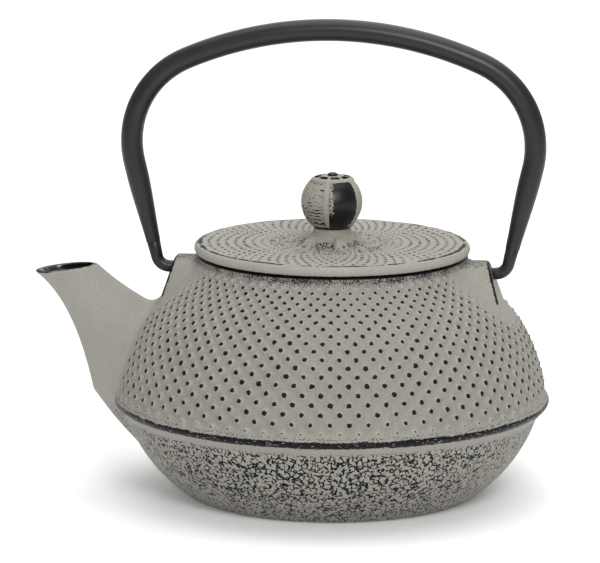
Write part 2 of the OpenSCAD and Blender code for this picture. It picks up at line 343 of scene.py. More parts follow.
class Paint:
    """A material and the short ways to wire it."""

    def __init__(self, name):
        self.material = bpy.data.materials.new(name)
        self.material.use_nodes = True
        self.tree = self.material.node_tree
        self.shader = self.tree.nodes["Principled BSDF"]
        self.place = self.node("ShaderNodeTexCoord").outputs["Object"]

    def node(self, kind, **settings):
        made = self.tree.nodes.new(kind)
        for key, value in settings.items():
            setattr(made, key, value)
        return made

    def feed(self, socket, value):
        if isinstance(value, bpy.types.NodeSocket):
            self.tree.links.new(value, socket)
        else:
            socket.default_value = value

    def set(self, **values):
        for key, value in values.items():
            self.feed(self.shader.inputs[key.replace("_", " ")], value)

    def math(self, operation, *values):
        made = self.node("ShaderNodeMath", operation=operation)
        for socket, value in zip(made.inputs, values):
            self.feed(socket, value)
        return made.outputs[0]

    def add(self, a, b):
        return self.math("ADD", a, b)

    def less(self, a, b):
        return self.math("SUBTRACT", a, b)

    def times(self, a, b):
        return self.math("MULTIPLY", a, b)

    def scaled(self, a, factor, offset):
        return self.math("MULTIPLY_ADD", a, factor, offset)

    def apart(self, a, b):
        """How far a is from b."""
        return self.math("ABSOLUTE", self.less(a, b))

    def shaken(self, value, noise, amount):
        """The value, moved up and down by noise within the given amount."""
        return self.add(value, self.scaled(noise, amount, -amount / 2))

    def stretched(self, scale):
        """The place, with each axis multiplied by its own number."""
        made = self.node("ShaderNodeMapping")
        made.inputs["Scale"].default_value = scale
        self.tree.links.new(self.place, made.inputs["Vector"])
        return made.outputs[0]

    def noise(self, size_mm, detail=2.0, vector=None, roughness=0.5):
        made = self.node("ShaderNodeTexNoise")
        made.inputs["Scale"].default_value = 1 / (size_mm * MM)
        made.inputs["Detail"].default_value = detail
        made.inputs["Roughness"].default_value = roughness
        self.tree.links.new(vector or self.place, made.inputs["Vector"])
        return made.outputs["Fac"]

    def cracks(self, size_mm, vector=None):
        """Distance to the nearest edge between random cells."""
        made = self.node("ShaderNodeTexVoronoi", feature="DISTANCE_TO_EDGE")
        made.inputs["Scale"].default_value = 1 / (size_mm * MM)
        self.tree.links.new(vector or self.place, made.inputs["Vector"])
        return made.outputs["Distance"]

    def step(self, value, low, high):
        """0 below low, 1 above high, smooth between; the other way round if low is the larger."""
        made = self.node("ShaderNodeMapRange", interpolation_type="SMOOTHSTEP")
        first, last = (low, high) if low < high else (high, low)
        self.feed(made.inputs["Value"], value)
        made.inputs["From Min"].default_value = first
        made.inputs["From Max"].default_value = last
        made.inputs["To Min"].default_value = 0.0 if low < high else 1.0
        made.inputs["To Max"].default_value = 1.0 if low < high else 0.0
        return made.outputs[0]

    def mix(self, factor, a, b):
        made = self.node("ShaderNodeMix", data_type="RGBA")
        self.feed(made.inputs[0], factor)
        for socket, colour in ((made.inputs[6], a), (made.inputs[7], b)):
            self.feed(socket, colour if isinstance(colour, bpy.types.NodeSocket) else (*colour, 1))
        return made.outputs[2]

    def cloudy(self, noise, dark, light):
        return self.mix(self.step(noise, 0.3, 0.7), dark, light)

    def attribute(self, name):
        return self.node("ShaderNodeAttribute", attribute_name=name).outputs["Fac"]

    def bump(self, height, depth_mm, below=None):
        made = self.node("ShaderNodeBump")
        made.inputs["Distance"].default_value = depth_mm * MM
        self.feed(made.inputs["Height"], height)
        if below is not None:
            self.feed(made.inputs["Normal"], below)
        return made.outputs[0]

    def cylinder(self):
        """Angle about Z in turns, radius in mm and height in mm."""
        parts = self.node("ShaderNodeSeparateXYZ")
        self.feed(parts.inputs[0], self.place)
        x, y, z = parts.outputs
        turns = self.math("DIVIDE", self.math("ARCTAN2", y, x), TURN)
        radius = self.math("SQRT", self.add(self.times(x, x), self.times(y, y)))
        return turns, self.math("DIVIDE", radius, MM), self.math("DIVIDE", z, MM)

    def dot_distance(self, around, width, across, gap):
        """Distance in mm to the nearest point of a staggered lattice of the given spacings."""
        found = []
        for shift in (0.0, 1.0):
            a = self.add(around, shift / 2)
            a = self.times(self.less(a, self.math("ROUND", a)), width)
            b = self.times(self.add(across, shift), 0.5)
            b = self.times(self.less(b, self.math("ROUND", b)), gap)
            squares = self.add(self.times(a, a), self.times(b, b))
            found.append(self.math("SQRT", squares))
        return self.math("MINIMUM", *found)


GREY = (0.338, 0.326, 0.282)
BLACK = (0.0045, 0.0045, 0.005)


def lacquer(paint, wear_and_painted_shade, gloss=0.24, relief=0.1, dome_shade_and_highlight=None, shine=-0.2):
    """Matt grey lacquer on rough iron, with glossier black where it is worn through and where shade is
    painted into creases; an optional dome mask adds painted shade between bumps and a painted highlight on
    their tops.
    """
    broad = paint.noise(14, 3)
    grain = paint.noise(0.55, 4, roughness=0.65)
    pits = paint.noise(0.22, 2)
    dark, light = tuple(c * 0.95 for c in GREY), tuple(c * 1.05 for c in GREY)
    tone = paint.cloudy(broad, dark, light)
    tone = paint.mix(paint.step(grain, 0.62, 0.38), tone, tuple(c * 0.86 for c in GREY))
    # Painted shade in the hollows between bumps and a painted highlight on the dome tops.
    if dome_shade_and_highlight is not None:
        tone = paint.mix(dome_shade_and_highlight, paint.mix(0.16, tone, BLACK), paint.mix(0.05, tone, (1, 1, 1)))
    paint.set(Base_Color=paint.mix(wear_and_painted_shade, tone, BLACK))
    paint.set(Specular_IOR_Level=paint.scaled(wear_and_painted_shade, shine, 0.36))
    paint.set(Roughness=paint.scaled(wear_and_painted_shade, -gloss, 0.62))
    under = paint.bump(grain, 0.10)
    under = paint.bump(pits, 0.03, under)
    return paint.bump(paint.less(1.0, wear_and_painted_shade), relief, under)


def any_of(paint, *masks):
    total = masks[0]
    for mask in masks[1:]:
        total = paint.math("MAXIMUM", total, mask)
    return total


def pot_paint():
    paint = Paint("grey_iron_pot")
    turns, radius, height = paint.cylinder()
    ragged = paint.noise(0.8, 3, roughness=0.6)
    ragged_small = paint.noise(0.45, 2)
    patches = paint.noise(6.0, 2)

    # black tips of the bumps
    width = paint.times(radius, TURN / BUMPS_AROUND)
    gap = paint.times(radius, 2 * ROW_PER_R)
    around = paint.times(turns, BUMPS_AROUND)
    away = paint.dot_distance(around, width, paint.attribute("row"), gap)
    dome = paint.step(away, 2.3, 0.3)
    away = paint.shaken(away, ragged, 1.2)
    reach = paint.times(paint.scaled(patches, 0.8, 0.52), paint.attribute("tips"))
    tips = paint.step(paint.less(away, reach), 0.05, -0.05)

    # worn edge of the flange: a broken black band with pale flecks, and specks above it
    edge = paint.apart(height, FLANGE_Z - 0.45)
    edge = paint.shaken(edge, ragged, 1.5)
    edge = paint.shaken(edge, patches, 1.1)
    edge_band = paint.step(edge, 1.42, 1.30)
    out_there = paint.step(radius, FLANGE_R - 3.2, FLANGE_R - 2.6)
    flakes = paint.step(paint.noise(1.0, 3, paint.stretched((0.45, 0.45, 2.2))), 0.38, 0.36)
    edge_band = paint.times(edge_band, paint.less(1.0, flakes))
    fringe = paint.apart(height, FLANGE_Z + 1.7)
    fringe = paint.less(ragged_small, paint.scaled(fringe, 0.10, 0.565))
    edge_band = paint.math("MAXIMUM", edge_band, paint.step(fringe, 0.0, 0.015))
    from_spout = paint.apart(paint.math("ABSOLUTE", turns), 0.5)
    beside_spout = paint.step(from_spout, 0.026, 0.034)
    edge_band = paint.times(edge_band, paint.times(out_there, beside_spout))

    # speckled neck under the lid, and solid black at the rim: painted shade under the lid's overhang
    dense = paint.step(height, RIM_Z - 4.8, RIM_Z - 1.2)
    speckle = paint.shaken(ragged_small, patches, 0.3)
    speckle = paint.less(speckle, paint.scaled(dense, -0.22, 0.71))
    neck = paint.times(paint.step(speckle, 0.0, 0.012), paint.step(height, RIM_Z - 7.0, RIM_Z - 5.5))
    neck = paint.math("MAXIMUM", neck, paint.step(height, RIM_Z - 0.75, RIM_Z - 0.6))

    # crackled bowl
    bend = paint.node("ShaderNodeVectorMath", operation="MULTIPLY_ADD")
    shake = paint.node("ShaderNodeTexNoise")
    shake.inputs["Scale"].default_value = 1 / (1.7 * MM)
    paint.tree.links.new(paint.place, shake.inputs["Vector"])
    paint.tree.links.new(shake.outputs["Color"], bend.inputs[0])
    bend.inputs[1].default_value = (0.0021, 0.0021, 0.0021)
    paint.tree.links.new(paint.place, bend.inputs[2])
    cracks = paint.cracks(2.0, bend.outputs[0])
    gate = paint.times(paint.step(paint.noise(1.5, 2), 0.38, 0.53), 0.135)
    worn_most = paint.scaled(paint.step(height, 3.0, 22.0), 0.3, 0.75)
    fade = paint.times(paint.step(height, 33.0, 30.0), paint.step(paint.noise(12.0, 2), 0.10, 0.35))
    gate = paint.times(gate, paint.times(fade, worn_most))
    aside = paint.math("ABSOLUTE", paint.math("SINE", paint.times(turns, TURN)))
    gate = paint.times(gate, paint.scaled(paint.step(aside, 0.3, 0.95), 0.5, 0.5))
    crackle = paint.step(paint.less(gate, cracks), -0.004, 0.01)

    # worn edges stored on the mesh, and a few stray specks
    here = paint.step(paint.noise(11.0, 1), 0.5, 0.62)
    stray = paint.times(paint.step(paint.noise(0.9, 1), 0.235, 0.215), here)
    chips = paint.shaken(paint.attribute("edge"), ragged, 1.3)
    chips = paint.step(chips, 0.62, 0.68)

    # Black where the lacquer is worn through, plus the painted shade line at the rim.
    wear_and_painted_shade = any_of(paint, tips, edge_band, neck, crackle, stray, chips)
    bumpy = paint.attribute("bumpy")
    # Painted shade and highlight: darker between the bumps, lighter on their domes.
    dome_shade_and_highlight = paint.scaled(bumpy, paint.less(dome, 0.55), 0.5)
    normal = lacquer(paint, wear_and_painted_shade, relief=0.14, dome_shade_and_highlight=dome_shade_and_highlight)
    paint.set(Normal=paint.bump(paint.times(dome, bumpy), 0.35, normal))
    return paint.material


def lid_paint():
    paint = Paint("grey_iron_lid")
    turns, radius, height = paint.cylinder()
    ragged = paint.noise(0.8, 3, roughness=0.6)
    patches = paint.noise(7.0, 2)

    rings = paint.math("DIVIDE", paint.less(LID_FIRST_RING, radius), LID_RING_GAP)
    around = paint.times(turns, LID_DOTS)
    width = paint.times(radius, TURN / LID_DOTS)
    away = paint.dot_distance(around, width, rings, 2 * LID_RING_GAP)
    away = paint.shaken(away, ragged, 1.3)
    reach = paint.times(paint.scaled(patches, 1.0, 0.10), paint.attribute("tips"))
    tips = paint.step(paint.less(away, reach), 0.05, -0.05)

    # fine crackle inside the dotted rings
    fine = paint.less(paint.scaled(paint.noise(1.8, 2), 0.8, -0.40), paint.cracks(1.5))
    inner = paint.times(paint.step(radius, 29, 22), paint.step(radius, 13, 15))
    fine = paint.times(paint.step(fine, -0.03, 0.0), inner)

    # chipped line round the edge of the top
    line = paint.apart(radius, 51.2)
    line = paint.shaken(line, ragged, 1.5)
    line = paint.less(line, paint.scaled(paint.noise(6.0, 2), 4.2, -2.05))
    line = paint.times(paint.step(line, 0.42, 0.32), paint.step(height, RIM_Z + 2.7, RIM_Z + 3.1))

    # painted shade: black along the bottom of the rim, where it overhangs the pot; then specks between the
    # petals and a few stray chips
    low = paint.shaken(height, ragged, 0.7)
    low = paint.step(low, RIM_Z + 0.75, RIM_Z + 0.6)
    specks = paint.add(ragged, paint.scaled(paint.attribute("hollow"), 0.40, -0.40))
    hollow = paint.step(paint.attribute("hollow"), 0.25, 0.6)
    specks = paint.times(paint.step(specks, 0.50, 0.52), hollow)
    here = paint.step(paint.noise(12.0, 1), 0.45, 0.6)
    stray = paint.times(paint.step(paint.noise(1.0, 1), 0.23, 0.21), here)
    paint.set(Normal=lacquer(paint, any_of(paint, tips, fine, line, low, specks, stray)))
    return paint.material


def knob_paint():
    paint = Paint("grey_iron_knob")
    height = paint.cylinder()[2]
    ragged = paint.noise(0.8, 3, roughness=0.65)
    bare = paint.shaken(paint.attribute("bare"), ragged, 1.1)
    bare = paint.step(bare, 0.62, 0.66)

    # wavy strokes left in the grey panels
    waves = paint.scaled(height, 0.7, paint.times(paint.noise(3.2, 3), 2.6))
    waves = paint.apart(waves, paint.math("ROUND", waves))
    waves = paint.shaken(waves, paint.noise(1.8, 2), 0.7)
    low_half = paint.scaled(paint.step(height, KNOB_C + 2, KNOB_C - 4), 0.14, 0.02)
    hatch = paint.less(paint.times(paint.attribute("hatch"), low_half), waves)
    panel = paint.step(paint.attribute("hatch"), 0.3, 0.6)
    hatch = paint.times(paint.step(hatch, 0.0, 0.02), panel)
    # Painted shade: a black band round the bottom of the ball, where it meets the lid.
    painted_foot_shade = paint.step(height, knob_low[2] + 0.95, knob_low[2] + 0.8)
    paint.set(Normal=lacquer(paint, any_of(paint, bare, hatch, painted_foot_shade), gloss=0.38, shine=-0.02))
    return paint.material


def enamel_paint():
    paint = Paint("black_enamel")
    waves = paint.noise(3.0, 2)
    orange_peel = paint.noise(0.9, 2)
    paint.set(Base_Color=paint.cloudy(waves, (0.010, 0.010, 0.011), (0.018, 0.018, 0.020)))
    paint.set(Roughness=paint.scaled(orange_peel, 0.16, 0.14), Coat_Weight=0.35, Coat_Roughness=0.1)
    paint.set(Normal=paint.bump(waves, 0.12, paint.bump(orange_peel, 0.03)))
    return paint.material


def black_coat_paint():
    paint = Paint("black_powder_coat")
    peel = paint.noise(0.5, 3)
    cloud = paint.noise(16, 2)
    paint.set(Base_Color=paint.cloudy(cloud, (0.008, 0.008, 0.0085), (0.013, 0.013, 0.0135)))
    paint.set(Roughness=paint.scaled(cloud, 0.10, 0.30), Specular_IOR_Level=0.42)
    paint.set(Normal=paint.bump(peel, 0.045))
    return paint.material


def steel_paint(name, roughness, stretch):
    """Stainless steel, brushed along the directions where stretch is small."""
    paint = Paint(name)
    grain = paint.noise(0.5, 4, paint.stretched(stretch))
    smudge = paint.noise(11, 3)
    paint.set(Base_Color=paint.cloudy(smudge, (0.60, 0.60, 0.595), (0.68, 0.68, 0.675)))
    paint.set(Metallic=1.0, Roughness=paint.scaled(grain, 0.16, roughness))
    paint.set(Normal=paint.bump(grain, 0.012))
    return paint.material


# ---------------------------------------------------------------- the pot

def pot_outline():
    """The outside of the pot from base to rim as (r, z), in five parts of even spacing."""
    edge_centre = (FLANGE_R - FLANGE_EDGE_R, FLANGE_Z)
    edge = arc(edge_centre, FLANGE_EDGE_R, radians(-50), radians(40), 8)
    under = curve([BOWL_HIGH, (BOWL_HIGH[0] + 2.2, BOWL_HIGH[1] + 2.4), edge[0]], 10)
    over = curve([edge[-1], (SHOULDER_LOW[0] + 0.2, SHOULDER_LOW[1] - 4.1), SHOULDER_LOW], 40)
    turn_up = next(i for i, p in enumerate(over) if p[1] > FLANGE_Z + 2)
    base = [(BASE_R, 0), BOWL_LOW]
    bowl = [p for p in arc_between(BOWL_LOW, BOWL_HIGH, BOWL_ARC_R, 60) if p[1] > 0.2]
    shoulder = arc_between(SHOULDER_LOW, SHOULDER_HIGH, SHOULDER_ARC_R, 80)
    neck = curve([SHOULDER_HIGH, (54.4, 87.4), (NECK_R, RIM_Z - 2.2)], 14)
    bead = curve([(NECK_R, RIM_Z - 2.2), (NECK_R + 0.9, RIM_Z - 1.1), (NECK_R, RIM_Z - 0.2)], 6)
    inner = [(NECK_R - 0.3, RIM_Z)]
    fine = resample(base[:1] + bowl, 1.4)
    flange = resample(under + edge[1:] + over[1:turn_up + 1], 0.6)
    upper = resample(over[turn_up:] + shoulder[1:] + neck[1:], 0.1)
    return fine, flange, upper, resample(bead, 0.5), inner


def lattice_rows(upper):
    """The bump row at each point of the upper outline: 0 at the lowest full row, then 1 a row."""
    gap = np.concatenate([[0], np.hypot(*np.diff(upper, axis=0).T)])
    rows = np.cumsum(gap / (ROW_PER_R * upper[:, 0]))
    return rows - np.interp(FIRST_ROW_Z, upper[:, 1], rows)


def spout_upper(t):
    return bezier([(-92.2, 87.5), (-86, 82), (-76, 73.5), (-60, 69)], t)


def spout_lower(t):
    return bezier([(-117.0, 84.6), (-106.5, 77.3), (-98.5, 62), (-93.6, 38)], t)


SPOUT_MOUTH_W = 9.2
SPOUT_ROOT_W = 15
SPOUT_LIP = 1.5


def spout_width(t):
    return SPOUT_MOUTH_W + (SPOUT_ROOT_W - SPOUT_MOUTH_W) * t ** 1.6


def station(upper, lower, width, inset=0.0):
    """A section of the spout, drawn in by inset all round."""
    upper, lower = np.array(upper, float), np.array(lower, float)
    v = (upper - lower) / np.hypot(*(upper - lower))
    return upper - v * inset, lower + v * inset, width - inset


def station_ring(section, sides):
    upper, lower, width = section
    centre, half = (upper + lower) / 2, (upper - lower) / 2
    angles = np.arange(sides) * TURN / sides
    return [(centre[0] + half[0] * cos(a), width * sin(a), centre[1] + half[1] * cos(a))
            for a in angles]


def spout_outside():
    stations = []
    lip = ((0.0, 0.9, 1.5), (0.003, 0.5, 0.85), (0.012, 0.2, 0.35), (0.028, 0.03, 0.1), (0.045, 0, 0.02))
    for t, inset, tip in lip:
        upper, lower, width = station(spout_upper(t), spout_lower(t), spout_width(t), inset)
        stations.append((upper, station(spout_upper(t), spout_lower(t), 0, tip)[1], width))
    stations += [station(spout_upper(t), spout_lower(t), spout_width(t)) for t in np.linspace(0.06, 1, 52)]
    end = stations[-1]
    for t in np.linspace(0.08, 1, 14):
        lower = bezier([end[1], (-85.7, 27.5), (-80.5, 16.5), (-62, 4.5)], t)
        stations.append((end[0] + (np.array((-58, 60)) - end[0]) * t, lower, end[2] + 2 * t))
    return make_object("spout_outside", *lofted([station_ring(s, 112) for s in stations]))


def spout_channel(material):
    out = spout_upper(0) - spout_upper(0.05)
    out = out / np.hypot(*out)
    stations = []
    for shift, inset in ((3.0, 1.7), (0.0, 1.7), (-0.6, SPOUT_LIP + 0.5)):
        upper, lower = spout_upper(0) + out * shift, spout_lower(0) + out * shift
        stations.append(station(upper, lower, spout_width(0), inset))
    for t in np.linspace(0.06, 0.86, 18):
        thickness = SPOUT_LIP + (WALL - SPOUT_LIP) * t
        stations.append(station(spout_upper(t), spout_lower(t), spout_width(t), thickness))
    stations.append((np.array((-52.0, 63)), np.array((-62.0, 36)), SPOUT_ROOT_W - WALL))
    return make_object("spout_channel", *lofted([station_ring(s, 64) for s in stations]), material)


LUG_TOP_Z = 92.1
LUG_FACE_X = 60.9
LUG_LEAN = 0.31
LUG_HALF_HEIGHT = 10
BORE_R = 2.45
BORE_START_X = 58.2


def lug_half_width(below):
    """Half the width of the lug's outer face, from the depth below its top in half heights."""
    return 5.4 + 3.0 * below + 1.0 * below ** 2


def lug_outside(side):
    """A gusset that widens downwards and towards the neck, its outer face leaning out downwards."""
    rings = []
    steps = [(x, 1.0) for x in np.linspace(44, LUG_FACE_X - 1.2, 20)]
    steps += [(LUG_FACE_X - 0.7, 0.985), (LUG_FACE_X - 0.25, 0.955), (LUG_FACE_X, 0.90)]
    for x, size in steps:
        flare = 9 * (LUG_FACE_X - x) / 11
        ring = []
        for k in range(96):
            c, s = cos(k * TURN / 96), sin(k * TURN / 96)
            y = math.copysign(abs(c) ** 0.55, c) * size
            h = math.copysign(abs(s) ** 0.5, s) * size
            z = LUG_TOP_Z - LUG_HALF_HEIGHT * (1 - h) - 0.07 * (LUG_FACE_X - x)
            half_width = lug_half_width(1 - h) + flare
            ring.append((side * (x + LUG_LEAN * (LUG_TOP_Z - z)), y * half_width, z))
        rings.append(ring if side < 0 else ring[::-1])
    return make_object("lug_outside", *lofted(rings))


def bore(side, material):
    rings = []
    for x in (side * BORE_START_X, side * 75):
        ring = [(x, BORE_R * cos(k * TURN / 48), PIVOT_Z + BORE_R * sin(k * TURN / 48))
                for k in range(48)]
        rings.append(ring if side < 0 else ring[::-1])
    return make_object("bore", *lofted(rings), material)


def pot_inside(material):
    shoulder_c = arc_centre(SHOULDER_LOW, SHOULDER_HIGH, SHOULDER_ARC_R)
    bowl_c = arc_centre(BOWL_LOW, BOWL_HIGH, BOWL_ARC_R)
    up_r, low_r = SHOULDER_ARC_R - WALL, BOWL_ARC_R - WALL
    top = angle_of(shoulder_c, (50.5, 86))
    waist_up = asin((FLANGE_Z + 2 - shoulder_c[1]) / up_r)
    waist_down = asin((FLANGE_Z - 2 - bowl_c[1]) / low_r)
    low = asin((FLOOR_T - bowl_c[1]) / low_r)
    outline = [(0, FLOOR_T)] + arc(bowl_c, low_r, low, waist_down, 24)
    outline += arc(shoulder_c, up_r, waist_up, top, 30)
    outline += [(MOUTH_R, LEDGE_Z - 4.5), (MOUTH_R, LEDGE_Z), (LEDGE_R, LEDGE_Z), (LEDGE_R, RIM_Z - 0.35),
                (LEDGE_R + 0.5, RIM_Z + 0.2), (LEDGE_R + 0.5, RIM_Z + 2), (0, RIM_Z + 2)]
    return make_object("pot_inside", *turned(outline, 144), material)


def distances(co, tree, reach):
    """How far each place is from a surface, in millimetres, or reach if it is further."""
    out = np.full(len(co), float(reach))
    for i, p in enumerate(co):
        hit = tree.find_nearest(Vector(p) * MM, reach * MM)
        if hit[3] is not None:
            out[i] = hit[3] / MM
    return out


def from_dot(around, width, across, gap):
    """How far each place is from the nearest point of a staggered lattice of the given spacings."""
    best = np.full(len(around), 9.0)
    for shift in (0, 1):
        a, b = around + shift / 2, (across + shift) / 2
        best = np.minimum(best, np.hypot((a - np.round(a)) * width, (b - np.round(b)) * gap))
    return best


def make_pot(grey, enamel):
    fine, flange, upper, bead, inner = pot_outline()
    rows_at = lattice_rows(upper)
    first, last = math.ceil(rows_at[0] * BUMP_ROWS), math.floor(rows_at[-1] * BUMP_ROWS)
    at = np.arange(first, last + 1) / BUMP_ROWS
    shoulder = np.stack([np.interp(at, rows_at, upper[:, i]) for i in (0, 1)], 1)
    outline = [(0, 0), (18, 0), (36, 0), (48, 0), *fine, *flange[1:], *shoulder[1:], *bead, *inner]
    outline += [(40, RIM_Z), (0, RIM_Z)]
    columns = BUMPS_AROUND * BUMP_COLUMNS
    pot = make_object("pot_casting", *turned(outline, columns), grey)
    round_tree = BVHTree.FromObject(pot, bpy.context.evaluated_depsgraph_get())

    extras = [spout_outside(), lug_outside(-1), lug_outside(1)]
    for part in extras:
        part.data.materials.append(grey)
    bpy.context.view_layer.update()
    trees = [BVHTree.FromObject(part, bpy.context.evaluated_depsgraph_get()) for part in extras]
    for part in extras:
        combine(pot, part, "UNION")

    co = coordinates(pot.data)
    x, _, z = co.T
    near = np.minimum.reduce([distances(co, tree, 30) for tree in trees])
    close = near < 12
    from_round = np.zeros(len(co))
    from_round[close] = distances(co[close], round_tree, 30)
    seam = np.maximum(near, from_round)
    beyond_face = LUG_FACE_X + LUG_LEAN * (LUG_TOP_Z - z) - np.abs(x)
    at_lug = (z > 75) & (x > -66)
    fillet = np.where(at_lug, np.clip(1.2 - seam / 4, 0, 1), np.clip(1.25 - seam / 7, 0, 1))
    weight = np.where(close, fillet, 0)
    weight *= np.where(at_lug, smooth_step(beyond_face, 0.1, 1.5), 1)
    off_flange = np.maximum(smooth_step(z, 34, 46), smooth_step(z, 33, 29))
    weight *= np.where(x < -66, 0.25 + 0.75 * off_flange, 1)
    weight *= smooth_step(z, RIM_Z - 2.0, RIM_Z - 3.0)
    co = neighbour_smooth(pot.data, co, weight, 90)
    set_coordinates(pot.data, co)

    for cutter in (pot_inside(enamel), spout_channel(enamel), bore(-1, enamel), bore(1, enamel)):
        combine(pot, cutter, "DIFFERENCE")

    mesh = pot.data
    co = coordinates(mesh)
    x, y, z = co.T
    radius = np.hypot(x, y)
    body_r = np.interp(z, upper[:, 1], upper[:, 0])
    on_body = (np.abs(radius - body_r) < 0.5) & (z > FLANGE_Z + 2.2) & (z < RIM_Z - 3)
    near = np.full(len(co), 30.0)
    near[on_body] = np.minimum.reduce([distances(co[on_body], tree, 30) for tree in trees])
    row = np.interp(z, upper[:, 1], rows_at)
    away = from_dot(np.arctan2(y, x) / TURN * BUMPS_AROUND, 2 / ROW_STRETCH, row, 2)
    beside = smooth_step(near, 1.5, 8.0)
    span = smooth_step(row, -1.9, -0.4) * smooth_step(row, TOP_ROW + 1.5, TOP_ROW - 0.5)
    strength = np.where(on_body, beside * span, 0)
    dome = 0.5 + 0.5 * np.cos(pi * np.clip(away / BUMP_REACH, 0, 1))
    rise = BUMP_HEIGHT * ROW_PER_R * body_r * dome * strength * (1 + 0.15 * lumps(co, 5.0, 3))
    slope = np.gradient(upper[:, 0], upper[:, 1])
    lean = np.interp(z, upper[:, 1], slope)
    outwards = np.stack([x / np.maximum(radius, 1), y / np.maximum(radius, 1), -lean], 1)
    outwards /= np.linalg.norm(outwards, axis=1)[:, None]
    co = co + outwards * rise[:, None]
    x, y, z = co.T

    bowl = (z > 1.5) & (z < 33) & (radius > BASE_R)
    rough = np.zeros(len(co))
    rough[bowl] = lumps(co[bowl], 1.6, 5) * 0.16 * smooth_step(z[bowl], 33, 28)
    uneven = lumps(co, 23.0, 8) * 0.12
    uneven[(z < 1.0) | (radius < LEDGE_R + 2) & (z > LEDGE_Z - 6)] = 0
    for axis in (x, y):
        axis += axis / np.maximum(radius, 1) * (rough + uneven)
    set_coordinates(mesh, co)

    set_attribute(mesh, "row", row)
    set_attribute(mesh, "bumpy", strength)
    clear = np.where(x < -66, smooth_step(near, 2.5, 9.0), smooth_step(near, 3.0, 9.0))
    tips = np.where(on_body, clear * (0.35 + 0.65 * smooth_step(row, -1.2, 0.4)), 0)
    tips *= 1 - 0.22 * smooth_step(row, 4, TOP_ROW - 3)
    tips *= smooth_step(row, -1.5, -1.2) * smooth_step(row, TOP_ROW - 0.2, TOP_ROW - 2.6)
    set_attribute(mesh, "tips", tips)
    set_attribute(mesh, "edge", pot_edges(co))
    finish_piece(pot, "pot", "grey_iron", "pot_body", "spout", "handle_lug_left",
                 "handle_lug_right", sharp=55)


def pot_edges(co):
    """Where the lacquer is worn off: round the lugs' outer faces and the spout's lip."""
    x, y, z = co.T
    face_x = LUG_FACE_X + LUG_LEAN * (LUG_TOP_Z - z)
    from_face = np.abs(np.abs(x) - face_x)
    at_lug = (z > 77) & (np.abs(y) < 13) & (np.abs(x) > 58)
    below = (LUG_TOP_Z - z) / LUG_HALF_HEIGHT
    from_rim = np.minimum(lug_half_width(below) - np.abs(y), LUG_TOP_Z - z)
    lug = np.where(at_lug, smooth_step(from_face, 1.6, 0.2) * smooth_step(from_rim, 2.8, 1.2), 0)
    mouth_u, mouth_l = spout_upper(0), spout_lower(0)
    along = (mouth_u - mouth_l) / np.hypot(*(mouth_u - mouth_l))
    normal = np.array([-along[1], along[0]])
    from_lip = np.abs((co[:, [0, 2]] - mouth_l) @ normal)
    left_end = smooth_step(x, -106, -113)
    lip = smooth_step(from_lip, 0.6 + 1.3 * left_end, 0.0) * (0.66 + 0.34 * left_end)
    return np.maximum(lug, np.where(x < -88, lip, 0))


# ---------------------------------------------------------------- the handle

CORNER_R = 35.5
CORNER_C = (42.8, 136.6)
LEG_LEAN = radians(13.3)
TAPER_Z = 119
TUBE_END_Z = 97
TUBE_END_R = 2.6
BEND_R = 5
HOOK_R = 2.35
PIN_R = 2.25
PIN_START_X = 59


def handle_geometry():
    rise = HANDLE_TOP - CORNER_R
    top_z = (rise + CORNER_C[1] - CORNER_C[0] ** 2 / (rise - CORNER_C[1])) / 2
    half_angle = math.atan2(CORNER_C[0], CORNER_C[1] - top_z)
    leg_top = (CORNER_C[0] + CORNER_R * cos(LEG_LEAN), CORNER_C[1] - CORNER_R * sin(LEG_LEAN))
    return top_z, half_angle, leg_top


def leg_at(z):
    leg_top = handle_geometry()[2]
    return leg_top[0] - (leg_top[1] - z) * math.tan(LEG_LEAN), z


def tube_radius(z):
    """Thickness of the handle at a height: it thins smoothly below the grip."""
    t = smooth_step(z, TUBE_END_Z - 6, TAPER_Z + 6)
    return TUBE_END_R + (GRIP_R - TUBE_END_R) * float(t)


def swept(path, radii, sides, groove=0.0):
    """Rings along a path in the XZ plane, with a groove on the side that faces the pot."""
    path = np.array(path, float)
    tangent = np.gradient(path, axis=0)
    tangent /= np.hypot(*tangent.T)[:, None]
    rings = []
    for p, d, r in zip(path, tangent, radii):
        ring = []
        for k in range(sides):
            w = k * TURN / sides
            depth = groove * max(0.0, 1 - abs(math.remainder(w, TURN)) / 0.14)
            reach = r - depth
            c, s = cos(w), sin(w)
            ring.append((p[0] - d[1] * reach * c, reach * s, p[1] + d[0] * reach * c))
        rings.append(ring)
    return np.array(rings)


def make_handle(coat):
    top_z, half_angle, leg_top = handle_geometry()
    top_r = HANDLE_TOP - top_z
    half = [leg_at(z) for z in np.linspace(TUBE_END_Z, leg_top[1], 30)]
    half += arc(CORNER_C, CORNER_R, -LEG_LEAN, pi / 2 - half_angle, 60)[1:]
    half += arc((0, top_z), top_r, pi / 2 - half_angle, pi / 2, 50)[1:]
    whole = half + [(-x, z) for x, z in reversed(half[:-1])]
    path = resample(whole, 1.6)
    radii = [tube_radius(z) for _, z in path]
    outside = swept(path, radii, 72, groove=0.4)
    inside = swept(path, [r - 0.9 for r in radii], 72)[::-1]
    tube = make_object("handle_tube", *lofted(np.concatenate([outside, inside]), endless=True), coat)
    finish_piece(tube, "handle", "black_steel", "handle_bow")
    for side, node in ((-1, "handle_hook_left"), (1, "handle_hook_right")):
        finish_piece(make_hook(side, node, coat), "handle", "black_steel", node)


